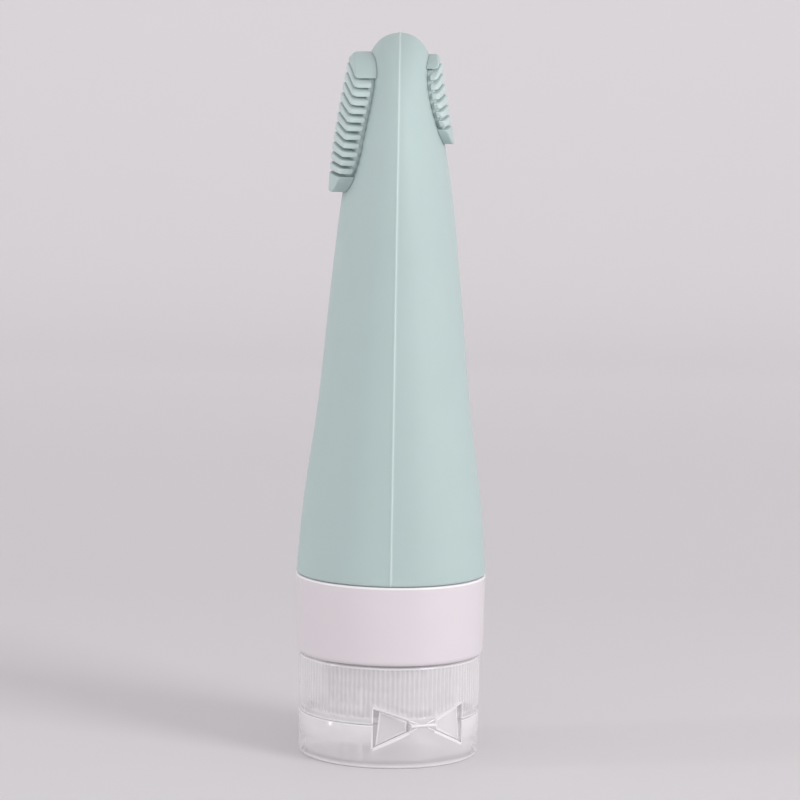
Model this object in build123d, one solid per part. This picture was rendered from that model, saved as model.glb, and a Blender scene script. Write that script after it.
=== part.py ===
from build123d import *
from math import cos, hypot, pi, sin, sqrt
import os

# A squeezable silicone travel bottle with two rubbing pads, standing on its clear flip-top cap.
# Millimetres, +Z up. The origin is the middle of the lid's flat face, which the bottle stands on.
# The bottle's broad faces look along X: the large pad is at -X and the small pad at +X.

# Overall heights, from the floor upwards
lid_height = 9.8
seam_gap = 0.2
base_height = 12.8
collar_gap = 0.5
collar_height = 17.8
body_length = 121.9
overrun = 1.0
merge_depth = 0.2

# Silicone bottle: round at the collar, a flat rounded paddle at the top
body_base_radius = 21.5
body_half_width = 24.2
body_wall = 2.0
body_tip_wall = 3.2
body_shelf = 2.0
body_seat_gap = 0.1
body_base_round = 0.7
# each row: drop below the tip over body_length, half thickness over body_base_radius,
# half width over body_half_width
body_section_shares = [
    (0.004, 0.120, 0.180),
    (0.016, 0.222, 0.352),
    (0.041, 0.310, 0.550),
    (0.082, 0.354, 0.745),
    (0.164, 0.444, 0.925),
    (0.287, 0.567, 1.000),
    (0.492, 0.695, 0.996),
    (0.697, 0.806, 0.958),
    (0.861, 0.932, 0.917),
]

# Rubbing pads: a thin backing slice that carries arched ribs
pad_seat_gap = 0.1
pad_backing = 0.8
groove_width = 0.7
# large pad, measured down from the bottle's tip
large_drop = 4.3
large_arch_height = 16.7
large_foot_height = 14.9
large_half_width = 16.3
large_corner = 9.0
large_rib_height = 4.6
large_foot_rib_height = 3.2
large_grooves = 12
large_first_groove = 6.4
large_groove_pitch = 2.22
large_first_sag = 4.7
large_last_sag = 1.0
# small pad
small_drop = 4.6
small_arch_height = 10.6
small_foot_height = 9.9
small_half_width = 13.3
small_corner = 9.4
small_rib_height = 2.5
small_foot_rib_height = 2.2
small_grooves = 7
small_first_groove = 6.3
small_groove_pitch = 2.31
small_first_sag = 2.9
small_last_sag = 0.8

# White collar that grips the bottle's sleeve
collar_taper = 0.3
collar_wall = 1.7
collar_lip = 1.7
collar_round = 0.8
collar_edge_round = 0.3
grip_fit = 0.05

# White neck insert inside the sleeve, with the spigot that takes the cap
insert_flange = 1.8
insert_barrel_wall = 1.6
barrel_drop = 2.65
barb_height = 0.35
barb_length = 1.5
barb_count = 3
spigot_radius = 13.2
spigot_wall = 1.7
spigot_lead = 0.5

# Washer between the spigot's mouth and the cap's deck
gasket_thick = 1.7
gasket_inset = 0.4
gasket_fit = 0.05

# Clear cap: base with ribbed skirt, deck, thread socket, upstand and spout
cap_inset = 0.7
cap_wall = 1.3
rib_count = 118
rib_depth = 0.3
rib_share = 0.5
rib_plain_edge = 1.4
deck_drop = 1.2
deck_thick = 1.5
thread_room = 0.9
socket_wall = 1.3
socket_shortfall = 0.5
upstand_wall = 1.2
upstand_reach = 1.7
upstand_fit = 0.1
spout_root_radius = 4.4
spout_tip_radius = 3.6
spout_bore_radius = 2.4
spout_length = 3.8

# Clear flip lid
lid_floor = 1.4
lid_foot_round = 1.2
plug_fit = 0.05
plug_seal_length = 0.6
plug_tip_length = 1.2
plug_tip_radius = 1.6
cup_ring_inner = 4.8
cup_ring_wall = 1.0
cup_ring_height = 4.2

# Butterfly hinge between lid and cap base
hinge_turn = 22.0
hinge_standoff = 0.4
hinge_bead_radius = 0.35
hinge_bead_half_length = 3.0
bead_web_root = 0.4
wing_half_span = 11.3
wing_rise = 4.0
wing_fall = 5.6
wing_thick = 1.0
wing_gap = 0.25
wing_lid_gap = 0.4
wing_end_gap = 0.7
wing_lift_share = 0.12
pocket_wall = 1.0

# Thumb notch opposite the hinge
notch_half_width = 7.5
notch_height = 3.4
notch_depth = 0.9

# Levels that follow from the heights
seam_z = lid_height + seam_gap / 2
base_z0 = lid_height + seam_gap
base_z1 = base_z0 + base_height
collar_z0 = base_z1 + collar_gap
collar_z1 = collar_z0 + collar_height
body_z0 = collar_z1 + body_seat_gap
tip_z = collar_z1 + body_length
deck_z0 = base_z0 + deck_drop
deck_z1 = deck_z0 + deck_thick
flange_z0 = collar_z0 + collar_lip + grip_fit
flange_z1 = flange_z0 + insert_flange
barrel_z1 = collar_z1 - barrel_drop
gasket_z0 = deck_z1 + gasket_fit
gasket_z1 = gasket_z0 + gasket_thick
spigot_z0 = gasket_z1 + gasket_fit
spout_z0 = deck_z0 - spout_length

# Radii that follow from the bottle's base and the walls
collar_top_radius = body_base_radius
collar_bottom_radius = collar_top_radius - collar_taper
cap_radius = collar_bottom_radius - cap_inset
sleeve_outer = collar_bottom_radius - collar_wall - grip_fit
sleeve_inner = sleeve_outer - body_wall
barb_radius = sleeve_inner - grip_fit
barrel_outer = barb_radius - barb_height
barrel_inner = barrel_outer - insert_barrel_wall
spigot_inner = spigot_radius - spigot_wall
socket_inner = spigot_radius + thread_room
socket_outer = socket_inner + socket_wall
skirt_inner = cap_radius - cap_wall
upstand_outer = skirt_inner - upstand_fit
plug_radius = spout_bore_radius - plug_fit
cup_ring_outer = cup_ring_inner + cup_ring_wall
hinge_reach = cap_radius + hinge_standoff
wing_end_depth = hinge_reach - sqrt(cap_radius**2 - wing_half_span**2)
chord_length = hypot(wing_half_span, wing_end_depth)


def revolved(outline):
    """A solid of revolution about Z from a closed outline of (radius, height) points."""
    wire = Polyline([(radius, 0, height) for radius, height in outline], close=True)
    return revolve(make_face(wire), Axis.Z)


def ring(outer, inner, low, high):
    """A plain ring between two heights."""
    return revolved([(inner, low), (outer, low), (outer, high), (inner, high)])


def post(radius, low, high):
    """A plain round post between two heights."""
    base = (Align.CENTER, Align.CENTER, Align.MIN)
    return Pos(0, 0, low) * Cylinder(radius, high - low, align=base)


def box_between(low, high):
    """An upright box between two corners."""
    size = [top - bottom for bottom, top in zip(low, high)]
    return Pos(*low) * Box(*size, align=(Align.MIN, Align.MIN, Align.MIN))


def edges_at(solid, radius, height):
    """The circular edges of a solid at one radius and one height."""
    return [
        edge
        for edge in solid.edges().filter_by(GeomType.CIRCLE)
        if abs(edge.radius - radius) < grip_fit and abs(edge.arc_center.Z - height) < grip_fit
    ]


def oval(half_thick, half_wide, level):
    """One level section of the bottle, starting at +Y."""
    return Pos(0, 0, level) * Rot(0, 0, 90) * Ellipse(half_wide, half_thick)


def body_hull(skin=0.0):
    """The bottle's outer form, moved outwards by skin, or inwards where skin is below zero."""
    tip = tip_z - body_tip_wall if skin < 0 else tip_z + skin
    sections = []
    for drop, thick, wide in body_section_shares:
        level = tip_z - drop * body_length
        half_thick = thick * body_base_radius + skin
        half_wide = wide * body_half_width + skin
        if level < tip:
            sections.append(oval(half_thick, half_wide, level))
    sections.append(oval(body_base_radius + skin, body_base_radius + skin, body_z0))
    return loft([Vertex(0, 0, tip)] + sections)


def make_silicone_body():
    shelf_z = body_z0 + body_shelf
    outer = body_hull()
    outer = fillet(outer.edges().group_by(Axis.Z)[0], body_base_round)
    sleeve = ring(sleeve_outer, sleeve_inner, flange_z1 + grip_fit, body_z0 + body_base_round)
    cavity = body_hull(-body_wall) - post(body_base_radius, body_z0 - overrun, shelf_z)
    mouth = post(sleeve_inner, flange_z1, shelf_z + overrun)
    return outer + sleeve - cavity - mouth


def pad_outline(drop, arch, foot, half_width, corner):
    """An arch on top of a round-cornered foot, in the YZ plane."""
    middle = tip_z - drop - arch
    upper = Ellipse(half_width, arch) & Pos(0, arch) * Rectangle(2 * half_width, 2 * arch)
    lower = RectangleRounded(2 * half_width, 2 * foot, corner)
    lower = lower & Pos(0, -foot) * Rectangle(2 * half_width, 2 * foot)
    return Plane.YZ * Pos(0, middle) * (upper + lower)


def groove_strips(count, first, pitch, first_sag, last_sag, half_width):
    """The gaps between the ribs: strips that arch less and less down the pad."""
    strips = []
    reach = half_width + overrun
    for index in range(count):
        sag = first_sag + (last_sag - first_sag) * index / (count - 1)
        crest = tip_z - first - pitch * index
        line = ThreePointArc((-reach, crest - sag), (0, crest), (reach, crest - sag))
        upper = Pos(0, groove_width / 2) * line
        lower = Pos(0, -groove_width / 2) * line
        sides = [Line(upper @ 0, lower @ 0), Line(upper @ 1, lower @ 1)]
        strips.append(Plane.YZ * make_face([upper, lower] + sides))
    return strips


def make_pad(side, drop, arch, foot, half_width, corner, top_rib, foot_rib, grooves):
    """One pad: the outline pushed out of the bottle, with grooves down to the backing."""
    depth = side * (body_base_radius + top_rib + overrun)
    prism = extrude(pad_outline(drop, arch, foot, half_width, corner), depth, dir=(1, 0, 0))
    cover = rib_cover(top_rib, foot_rib, drop, drop + arch + foot)
    block = (prism & cover) - body_hull(pad_seat_gap)
    slots = [extrude(strip, depth, dir=(1, 0, 0)) for strip in grooves]
    backing = body_hull(pad_seat_gap + pad_backing)
    return block - [slot - backing for slot in slots]


def rib_cover(top_rib, foot_rib, start, end):
    """The outer limit of a pad's ribs: the bottle's form with a skin that thins towards the foot."""
    sections = []
    for drop, thick, wide in body_section_shares:
        depth = drop * body_length
        part = min(max((depth - start) / (end - start), 0), 1)
        skin = top_rib + (foot_rib - top_rib) * part**3
        half_thick = thick * body_base_radius + skin
        half_wide = wide * body_half_width + skin
        sections.append(oval(half_thick, half_wide, tip_z - depth))
    return loft([Vertex(0, 0, tip_z + top_rib)] + sections)


def make_brush_pad_large():
    grooves = groove_strips(
        large_grooves, large_first_groove, large_groove_pitch,
        large_first_sag, large_last_sag, large_half_width,
    )
    return make_pad(
        -1, large_drop, large_arch_height, large_foot_height, large_half_width, large_corner,
        large_rib_height, large_foot_rib_height, grooves,
    )


def make_brush_pad_small():
    grooves = groove_strips(
        small_grooves, small_first_groove, small_groove_pitch,
        small_first_sag, small_last_sag, small_half_width,
    )
    return make_pad(
        1, small_drop, small_arch_height, small_foot_height, small_half_width, small_corner,
        small_rib_height, small_foot_rib_height, grooves,
    )


def make_collar_ring():
    bore = collar_bottom_radius - collar_wall
    collar = revolved([
        (spigot_radius + thread_room, collar_z0),
        (collar_bottom_radius, collar_z0),
        (collar_top_radius, collar_z1),
        (bore, collar_z1),
        (bore, collar_z0 + collar_lip),
        (spigot_radius + thread_room, collar_z0 + collar_lip),
    ])
    collar = fillet(edges_at(collar, collar_bottom_radius, collar_z0), collar_round)
    return fillet(edges_at(collar, collar_top_radius, collar_z1), collar_edge_round)


def make_neck_insert():
    insert = ring(sleeve_outer, spigot_inner, flange_z0, flange_z1)
    insert += ring(barrel_outer, barrel_inner, flange_z1, barrel_z1)
    insert += revolved([
        (spigot_inner, spigot_z0),
        (spigot_radius - spigot_lead, spigot_z0),
        (spigot_radius, spigot_z0 + spigot_lead),
        (spigot_radius, flange_z0),
        (spigot_inner, flange_z0),
    ])
    step = (barrel_z1 - flange_z1) / (barb_count + 1)
    for index in range(barb_count):
        tip = flange_z1 + step * (index + 1)
        insert += revolved([
            (barrel_inner, tip), (barb_radius, tip),
            (barrel_outer, tip + barb_length), (barrel_inner, tip + barb_length),
        ])
    return insert


def make_neck_gasket():
    return ring(socket_inner - gasket_fit, spigot_inner - gasket_inset, gasket_z0, gasket_z1)


def ribbed_ring(low, high):
    """The skirt's grip: upright ribs round a core, drawn once as a toothed outline."""
    core = cap_radius - rib_depth
    pitch = 2 * pi / rib_count
    tooth = [
        (0, core),
        (rib_share / 2, core),
        (rib_share, cap_radius),
        (1 - rib_share / 4, cap_radius),
    ]
    points = []
    for index in range(rib_count):
        for turn_share, radius in tooth:
            angle = pitch * (index + turn_share)
            points.append((radius * cos(angle), radius * sin(angle)))
    outline = make_face(Polyline(points, close=True)) - Circle(skirt_inner)
    return Pos(0, 0, low) * extrude(outline, high - low)


def chord_slab(near, far, low, high, side):
    """A slab along one wing: between two depths behind the hinge chord, and between two heights."""
    along = Vector(side * wing_half_span, wing_end_depth) / chord_length
    inward = Vector(-along.Y, along.X) * side
    start = Vector(0, -hinge_reach)
    reach = chord_length + cap_wall
    corners = [start + inward * near, start + along * reach + inward * near,
               start + along * reach + inward * far, start + inward * far]
    face = make_face(Polyline([(point.X, point.Y) for point in corners], close=True))
    return Pos(0, 0, low) * extrude(face, high - low)


def hinge_block(low, high):
    """Solid backing behind both wings, joined to the inside of a skirt."""
    inner = wing_thick + wing_gap + pocket_wall
    slabs = chord_slab(0, inner, low, high, 1) + chord_slab(0, inner, low, high, -1)
    return slabs & post(skirt_inner + merge_depth, low, high)


def wing_pocket(rise):
    """The slanted cut that frees both wings on one side of the seam: a wedge from the hinge line."""
    depth = wing_thick + wing_gap
    far = wing_rise + wing_fall
    slope = rise / wing_end_depth
    edge = far / abs(slope)
    wedge = make_face(Polyline([
        (-hinge_reach, 0), (-hinge_reach + edge, 0), (-hinge_reach + edge, slope * edge),
    ], close=True))
    wedge = Plane.YZ * Pos(0, seam_z) * wedge
    prism = extrude(wedge, wing_half_span, both=True)
    low, high = seam_z - far, seam_z + far
    front = chord_slab(-hinge_reach, depth, low, high, 1)
    front += chord_slab(-hinge_reach, depth, low, high, -1)
    keep = box_between(
        (-hinge_bead_half_length, -hinge_reach - overrun, low), (hinge_bead_half_length, 0, high)
    )
    return (prism & front) - keep


def swing_room(rise, lift):
    """Room outside both chords, level with the film lines, for wings that have turned out."""
    far = wing_rise + wing_fall
    away = -far if rise > 0 else far
    slabs = []
    for side in (-1, 1):
        outward = Vector(side * wing_end_depth, -wing_half_span) / chord_length
        start = Vector(0, -hinge_reach, seam_z)
        corners = [
            start, start + outward * far + Vector(0, 0, far * lift),
            start + outward * far + Vector(0, 0, away), start + Vector(0, 0, away),
        ]
        face = make_face(Polyline(corners, close=True))
        film = Vector(side * wing_half_span, wing_end_depth, rise)
        slabs.append(extrude(face, film.length, dir=film.normalized()))
    keep = box_between(
        (-hinge_bead_half_length, -hinge_reach - far, seam_z - far),
        (hinge_bead_half_length, 0, seam_z + far),
    )
    return (slabs[0] + slabs[1]) - keep


def make_cap_base():
    base = ribbed_ring(base_z0 + rib_plain_edge, base_z1 - rib_depth)
    base += ring(cap_radius, skirt_inner, base_z0, base_z0 + rib_plain_edge)
    base += ring(cap_radius, skirt_inner, base_z1 - rib_depth, base_z1)
    base += ring(skirt_inner + merge_depth, spout_bore_radius, deck_z0, deck_z1)
    base += ring(socket_outer, socket_inner, deck_z1, base_z1 - socket_shortfall)
    upstand = ring(upstand_outer, upstand_outer - upstand_wall, base_z0 - upstand_reach, deck_z0)
    hinge_side = box_between(
        (-wing_half_span - cap_wall, -cap_radius, base_z0 - upstand_reach),
        (wing_half_span + cap_wall, 0, deck_z0),
    )
    base += upstand - hinge_side
    base += revolved([
        (spout_bore_radius, spout_z0), (spout_tip_radius, spout_z0),
        (spout_root_radius, deck_z0), (spout_bore_radius, deck_z0),
    ])
    base += hinge_block(base_z0, seam_z + wing_rise * 2)
    base -= wing_pocket(wing_rise)
    base -= swing_room(wing_rise, wing_lift_share)
    base += hinge_bead()
    base -= thumb_notch()
    return Rot(0, 0, hinge_turn) * base


def hinge_bead():
    """The film hinge's rolled middle on the hinge axis, and the web that ties it to the base."""
    bead = Rot(0, 90, 0) * Cylinder(hinge_bead_radius, 2 * hinge_bead_half_length)
    bead = Pos(0, -hinge_reach, seam_z) * bead
    web = box_between(
        (-hinge_bead_half_length, -hinge_reach, base_z0),
        (hinge_bead_half_length, -cap_radius + bead_web_root, base_z0 + hinge_bead_radius),
    )
    return bead + web


def thumb_notch():
    """A shallow scoop above the seam, on the side away from the hinge."""
    return box_between(
        (-notch_half_width, cap_radius - notch_depth, base_z0 - overrun),
        (notch_half_width, cap_radius + overrun, base_z0 + notch_height),
    )


def make_flip_lid():
    plug_z1 = spout_z0 + plug_seal_length
    lid = revolved([
        (0, 0), (cap_radius, 0), (cap_radius, lid_height),
        (skirt_inner, lid_height), (skirt_inner, lid_floor),
        (cup_ring_outer, lid_floor), (cup_ring_outer, lid_floor + cup_ring_height),
        (cup_ring_inner, lid_floor + cup_ring_height), (cup_ring_inner, lid_floor),
        (plug_radius, lid_floor), (plug_radius, plug_z1), (plug_tip_radius, plug_z1 + plug_tip_length),
        (0, plug_z1 + plug_tip_length),
    ])
    lid = fillet(edges_at(lid, cap_radius, 0), lid_foot_round)
    lid += hinge_block(lid_floor, lid_height)
    lid -= wing_pocket(-wing_fall)
    lid -= swing_room(-wing_fall, 0)
    return Rot(0, 0, hinge_turn) * lid


def make_hinge_wing(side):
    """One stiff triangle of the butterfly hinge, flat along the chord from the hinge to its end."""
    along = Vector(side * wing_half_span, wing_end_depth) / chord_length
    lean = wing_end_depth / wing_half_span
    start = (hinge_bead_half_length + wing_gap) * chord_length / wing_half_span + wing_thick * lean
    end = chord_length - wing_end_gap
    rise = wing_rise / chord_length
    fall = wing_fall / chord_length
    outline = make_face(Polyline([
        (start, -fall * start + wing_lid_gap), (end, -fall * end + wing_lid_gap),
        (end, rise * end - wing_gap), (start, rise * start - wing_gap),
    ], close=True))
    inward = Vector(-along.Y, along.X) * side
    sheet = Plane(origin=(0, -hinge_reach, seam_z), x_dir=along, z_dir=along.cross(Vector(0, 0, 1)))
    wing = extrude(sheet * outline, wing_thick, dir=(inward.X, inward.Y, 0))
    return Rot(0, 0, hinge_turn) * wing


makers = {
    "silicone_body": make_silicone_body,
    "brush_pad_large": make_brush_pad_large,
    "brush_pad_small": make_brush_pad_small,
    "collar_ring": make_collar_ring,
    "neck_insert": make_neck_insert,
    "neck_gasket": make_neck_gasket,
    "cap_base": make_cap_base,
    "flip_lid": make_flip_lid,
    "hinge_wing_left": lambda: make_hinge_wing(-1),
    "hinge_wing_right": lambda: make_hinge_wing(1),
}

os.makedirs("parts", exist_ok=True)
for node, maker in makers.items():
    piece = maker()
    export_step(piece, f"parts/{node}.step")
    print(node, len(piece.solids()), round(piece.volume, 1))
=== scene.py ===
"""A travel silicone bottle with rubbing pads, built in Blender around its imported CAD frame."""

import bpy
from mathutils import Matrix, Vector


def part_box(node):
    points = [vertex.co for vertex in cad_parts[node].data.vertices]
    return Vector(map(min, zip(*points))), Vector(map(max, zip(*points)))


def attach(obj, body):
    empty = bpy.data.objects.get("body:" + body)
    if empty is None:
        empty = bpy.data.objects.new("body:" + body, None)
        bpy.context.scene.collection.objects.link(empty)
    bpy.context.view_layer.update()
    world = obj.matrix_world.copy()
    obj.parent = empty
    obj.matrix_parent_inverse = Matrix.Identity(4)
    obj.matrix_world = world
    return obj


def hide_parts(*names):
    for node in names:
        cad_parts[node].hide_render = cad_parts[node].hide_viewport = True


bl_info = {
    "name": "Travel silicone bottle",
    "version": (1, 0, 0),
    "blender": (4, 5, 0),
    "location": "3D View > Sidebar > Bottle",
    "description": "Builds a squeezable silicone bottle with two rubbing pads and a clear flip-top cap",
    "category": "Add Mesh",
}

import math

import bmesh
import bpy
from mathutils import Matrix, Vector

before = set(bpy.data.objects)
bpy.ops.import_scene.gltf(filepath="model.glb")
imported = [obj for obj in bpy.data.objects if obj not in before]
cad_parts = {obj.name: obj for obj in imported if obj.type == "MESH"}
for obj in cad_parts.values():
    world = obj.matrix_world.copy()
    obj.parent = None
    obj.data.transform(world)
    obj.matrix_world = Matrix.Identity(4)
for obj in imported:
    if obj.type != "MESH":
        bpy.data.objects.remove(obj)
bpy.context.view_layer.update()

MM = 0.001

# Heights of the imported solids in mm. The bottle stands upside down on its lid
BODY_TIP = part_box("silicone_body")[1].z / MM
COLLAR_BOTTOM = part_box("collar_ring")[0].z / MM
COLLAR_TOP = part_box("collar_ring")[1].z / MM
INSERT_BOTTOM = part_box("neck_insert")[0].z / MM
INSERT_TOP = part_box("neck_insert")[1].z / MM
GASKET_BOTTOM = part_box("neck_gasket")[0].z / MM
GASKET_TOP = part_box("neck_gasket")[1].z / MM
BASE_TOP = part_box("cap_base")[1].z / MM
LID_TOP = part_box("flip_lid")[1].z / MM
LID_RIM_GAP = 0.2
BASE_BOTTOM = LID_TOP + LID_RIM_GAP

# The bottle's sleeve and the insert's flange have this radius, inside the collar
SLEEVE_RADIUS = 19.45

# Half thickness and half width of the bottle in mm, against the drop below its tip as a share of its length
BODY_SECTIONS = [
    (0.000, 0.00, 0.00),
    (0.004, 2.58, 4.36),
    (0.016, 4.77, 8.52),
    (0.041, 6.67, 13.31),
    (0.082, 7.61, 18.03),
    (0.164, 9.55, 22.39),
    (0.287, 12.19, 24.20),
    (0.492, 14.94, 24.10),
    (0.697, 17.33, 23.18),
    (0.861, 20.04, 22.19),
    (1.000, 21.50, 21.50),
]

# Six steps round a quarter turn
QUARTER_TURN = [math.pi / 2 * k / 6 for k in range(1, 7)]


# ---- colours ------------------------------------------------------------------------------------

def linear(hex_colour):
    """An sRGB hex colour as linear red, green, blue and alpha."""
    shares = [int(hex_colour[i:i + 2], 16) / 255 for i in (1, 3, 5)]
    return [s / 12.92 if s <= 0.04045 else ((s + 0.055) / 1.055) ** 2.4 for s in shares] + [1.0]


def toned(colour, factor=1.0):
    """A linear colour times a factor, with alpha 1."""
    return [c * factor for c in colour[:3]] + [1.0]


# ---- mesh helpers, all in millimetres -----------------------------------------------------------

def make_object(name, points, faces, material, crease):
    """A mesh object from points in mm, smooth up to the crease angle. A fourth value is its painted edge highlight."""
    mesh = bpy.data.meshes.new(name)
    mesh.from_pydata([Vector(p[:3]) * MM for p in points], [], faces)
    light = mesh.attributes.new("painted_edge_highlight", "FLOAT", "POINT")
    light.data.foreach_set("value", [p[3] if len(p) > 3 else 0.0 for p in points])
    build = bmesh.new()
    build.from_mesh(mesh)
    bmesh.ops.remove_doubles(build, verts=build.verts, dist=1e-7)
    bmesh.ops.recalc_face_normals(build, faces=build.faces)
    build.to_mesh(mesh)
    build.free()
    mesh.shade_smooth()
    mesh.set_sharp_from_angle(angle=math.radians(crease))
    mesh.materials.append(material)
    item = bpy.data.objects.new(name, mesh)
    bpy.context.scene.collection.objects.link(item)
    return item


def loft_faces(rings, closed_across=True, closed_along=False):
    """Points and faces that join rings of points. A ring of one point is a pole."""
    points, starts = [], []
    for ring in rings:
        starts.append(len(points))
        points.extend(ring)
    faces = []
    pairs = list(zip(range(len(rings) - 1), range(1, len(rings))))
    if closed_along:
        pairs.append((len(rings) - 1, 0))
    for low, high in pairs:
        count = max(len(rings[low]), len(rings[high]))
        a, b = starts[low], starts[high]
        for i in range(count if closed_across else count - 1):
            j = (i + 1) % count
            if len(rings[low]) == 1:
                faces.append((a, b + j, b + i))
            elif len(rings[high]) == 1:
                faces.append((a + i, a + j, b))
            else:
                faces.append((a + i, a + j, b + j, b + i))
    return points, faces


def closed_rod(rings):
    """Points and faces that join rings of points, with a face over both ends."""
    points, faces = loft_faces(rings)
    size = len(rings[0])
    faces += [tuple(range(size - 1, -1, -1)), tuple(range(len(points) - size, len(points)))]
    return points, faces


def merge(parts):
    """Several (points, faces) pairs as one."""
    points, faces = [], []
    for more_points, more_faces in parts:
        start = len(points)
        points.extend(more_points)
        faces.extend(tuple(i + start for i in face) for face in more_faces)
    return points, faces


def rounded(corners, segments):
    """A closed outline of (radius, height) points from (radius, height, round) corners."""
    outline = []
    count = len(corners)
    for i, (r, z, radius) in enumerate(corners):
        here = Vector((r, z))
        before = Vector(corners[(i - 1) % count][:2]) - here
        after = Vector(corners[(i + 1) % count][:2]) - here
        half = before.angle(after) / 2
        reach = min(radius / math.tan(half), before.length * 0.45, after.length * 0.45)
        start, end = here + before.normalized() * reach, here + after.normalized() * reach
        for k in range(segments + 1):
            t = k / segments
            outline.append(tuple((1 - t) ** 2 * start + 2 * t * (1 - t) * here + t * t * end))
    # Points close to both ends of each long wall keep the wall's shading flat
    long_wall, hold = 1.2, 0.12
    held = []
    for i, point in enumerate(outline):
        held.append(point)
        here, after = Vector(point), Vector(outline[(i + 1) % len(outline)])
        step = after - here
        if step.length > long_wall:
            held += [tuple(here + step.normalized() * hold), tuple(after - step.normalized() * hold)]
    return held


def revolve(outline, steps):
    """A closed outline of (radius, height) points turned about Z."""
    rings = []
    for k in range(steps):
        c, s = math.cos(2 * math.pi * k / steps), math.sin(2 * math.pi * k / steps)
        rings.append([(point[0] * c, point[0] * s) + tuple(point[1:]) for point in outline])
    return loft_faces(rings, closed_along=True)


def helix_ridge(radius, reach, base_width, crest_width, pitch, start_z, start_angle, turns):
    """A right-handed screw thread's ridge, standing reach out of a radius, or into it where reach is negative."""
    steps = int(turns * 72)
    root = -math.copysign(0.12, reach)
    run_out = 0.12
    rings = []
    for k in range(steps + 1):
        turn = turns * k / steps
        angle = start_angle + 2 * math.pi * turn
        middle = start_z + pitch * turn
        ease = min(1.0, turn / run_out, (turns - turn) / run_out)
        height = reach * max(0.02, math.sin(ease * math.pi / 2))
        flank, crest = crest_width * 0.62, crest_width * 0.36
        shape = [
            (root, -base_width / 2), (height * 0.75, -flank), (height, -crest),
            (height, crest), (height * 0.75, flank), (root, base_width / 2),
        ]
        c, s = math.cos(angle), math.sin(angle)
        rings.append([((radius + out) * c, (radius + out) * s, middle + up) for out, up in shape])
    return closed_rod(rings)


# ---- the bottle's form --------------------------------------------------------------------------

def hermite(rows, t):
    """Smooth values between rows of (place, value, value ...)."""
    i = 0
    while i < len(rows) - 2 and t > rows[i + 1][0]:
        i += 1
    t0, t1 = rows[i][0], rows[i + 1][0]
    h = t1 - t0
    u = min(max((t - t0) / h, 0), 1)
    values = []
    for k in range(1, len(rows[0])):
        slope = start_slope = end_slope = (rows[i + 1][k] - rows[i][k]) / h
        if i > 0:
            before = (rows[i][k] - rows[i - 1][k]) / (t0 - rows[i - 1][0])
            start_slope = (slope + before) / 2
        if i < len(rows) - 2:
            after = (rows[i + 2][k] - rows[i + 1][k]) / (rows[i + 2][0] - t1)
            end_slope = (slope + after) / 2
        values.append(
            (2 * u**3 - 3 * u**2 + 1) * rows[i][k] + (u**3 - 2 * u**2 + u) * h * start_slope
            + (3 * u**2 - 2 * u**3) * rows[i + 1][k] + (u**3 - u**2) * h * end_slope
        )
    return values


# The square root of the drop keeps the tip round between the rows
ROOT_ROWS = [(math.sqrt(drop), a, b) for drop, a, b in BODY_SECTIONS]


def body_half_axes(height, skin=0.0):
    """Half thickness and half width of the bottle at a height, grown by skin."""
    share = (BODY_TIP - height) / (BODY_TIP - COLLAR_TOP)
    a, b = hermite(ROOT_ROWS, math.sqrt(max(share, 0)))
    return a + skin, b + skin


def body_surface(side, y, height, skin):
    """The point on one broad face of the bottle, grown by skin."""
    a, b = body_half_axes(height, skin)
    return side * a * math.sqrt(max(1 - (y / b) ** 2, 0)), y, height


# ---- materials ----------------------------------------------------------------------------------

def add_node(tree, kind, settings=None, links=()):
    """Adds a node, sets its sockets or properties by name, and links (node, output, input) to it."""
    item = tree.nodes.new(kind)
    for name, value in (settings or {}).items():
        if name in item.inputs:
            item.inputs[name].default_value = value
        else:
            setattr(item, name, value)
    for source, output, target in links:
        tree.links.new(source.outputs[output], item.inputs[target])
    return item


def start_material(name, surface):
    """A new material: its tree, object coordinates and its surface shader, linked to the output."""
    material = bpy.data.materials.new(name)
    material.use_nodes = True
    tree = material.node_tree
    tree.nodes.clear()
    place = add_node(tree, "ShaderNodeTexCoord")
    shader = add_node(tree, "ShaderNodeBsdfPrincipled", surface)
    add_node(tree, "ShaderNodeOutputMaterial", {}, [(shader, "BSDF", "Surface")])
    return material, tree, place, shader


def noise(tree, place, size_mm, detail):
    """Noise over the object, in patches of a real size."""
    settings = {"Scale": 1 / (size_mm * MM), "Detail": detail}
    return add_node(tree, "ShaderNodeTexNoise", settings, [(place, "Object", "Vector")])


def mottle(tree, place, shader, colour, dark_share, size_mm):
    """Lets the base colour drift to a slightly darker one, as unevenly mixed pigment does."""
    patches = noise(tree, place, size_mm, 3.0)
    ramp = add_node(tree, "ShaderNodeValToRGB", {}, [(patches, "Fac", "Fac")])
    dark, light = ramp.color_ramp.elements
    dark.position, dark.color = 0.15, toned(colour, dark_share)
    light.position, light.color = 0.85, toned(colour)
    tree.links.new(ramp.outputs["Color"], shader.inputs["Base Color"])
    return ramp


def paint_edge_highlights(tree, shader, ramp, edge_colour, strength):
    """Painted highlight: the base colour goes to a paler one along thin edges and parting lines."""
    edge = add_node(tree, "ShaderNodeAttribute", {"attribute_name": "painted_edge_highlight"})
    share = add_node(tree, "ShaderNodeMath", {"operation": "MULTIPLY", "use_clamp": True}, [(edge, "Fac", 0)])
    share.inputs[1].default_value = strength
    blend = add_node(
        tree, "ShaderNodeMixRGB", {"Color2": edge_colour}, [(share, "Value", "Fac"), (ramp, "Color", "Color1")]
    )
    tree.links.new(blend.outputs["Color"], shader.inputs["Base Color"])
    return share


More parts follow.
